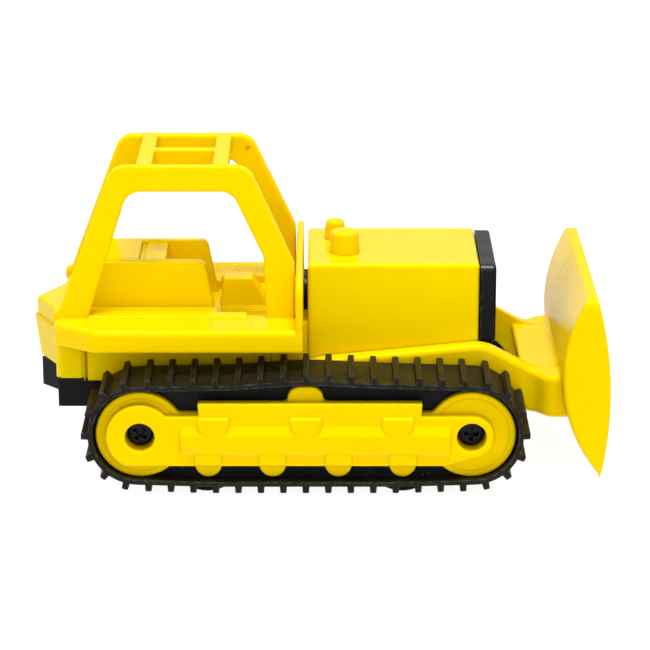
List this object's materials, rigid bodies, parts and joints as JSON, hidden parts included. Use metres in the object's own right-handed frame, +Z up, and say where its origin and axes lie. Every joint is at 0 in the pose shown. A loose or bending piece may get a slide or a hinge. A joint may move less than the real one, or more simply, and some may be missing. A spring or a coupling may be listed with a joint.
{
  "type": "toy bulldozer",
  "caption": "Small toy bulldozer: die-cast body with an open roll-over cab frame, fixed rubber tracks over hidden road wheels, and a curved front blade on a lifting push frame.",
  "frame": {"origin": "on the ground, under the middle of the bounding box", "axes": "+X forward, towards the blade; +Y to the machine's left; +Z up"},
  "size_m": [0.1176, 0.0634, 0.0649],
  "materials": {
    "yellow_plastic": "semi-gloss moulded plastic, bright yellow",
    "yellow_paint": "gloss enamel on die-cast metal, golden yellow",
    "black_plastic": "satin moulded plastic, black",
    "wheel_plastic": "matte moulded plastic, black",
    "track_rubber": "soft satin rubber, black",
    "black_screw": "black-oxide steel",
    "steel": "drawn bright steel"
  },
  "bodies": {
    "chassis": {"chassis_base": "black_plastic", "belly_plate": "black_plastic", "body_shell": "yellow_paint", "hood": "yellow_paint", "air_precleaner_cap": "yellow_plastic", "exhaust_cap": "yellow_plastic", "radiator_grille": "black_plastic", "cab_frame": "yellow_plastic", "belly_screws": "black_screw", "body_screws": "black_screw", "track_frame_left": "yellow_plastic", "track_frame_right": "yellow_plastic", "rubber_track_left": "track_rubber", "rubber_track_right": "track_rubber", "track_frame_screws_left": "black_screw", "track_frame_screws_right": "black_screw"},
    "rear_wheelset": {"rear_axle": "steel", "rear_wheel_left": "wheel_plastic", "rear_wheel_right": "wheel_plastic"},
    "front_wheelset": {"front_axle": "steel", "front_wheel_left": "wheel_plastic", "front_wheel_right": "wheel_plastic"},
    "blade_assembly": {"blade_with_push_arms": "yellow_plastic"}
  },
  "joints": [
    {"name": "blade_lift", "type": "hinge", "parent": "chassis", "child": "blade_assembly", "pos_m": [-0.004, 0, 0.017], "axis": [0, -1, 0], "range_deg": [-2.5, 20]},
    {"name": "rear_wheels", "type": "hinge", "parent": "chassis", "child": "rear_wheelset", "pos_m": [-0.0223, 0, 0.0074], "axis": [0, 1, 0], "continuous": true},
    {"name": "front_wheels", "type": "hinge", "parent": "chassis", "child": "front_wheelset", "pos_m": [0.0171, 0, 0.0074], "axis": [0, 1, 0], "continuous": true}
  ]
}
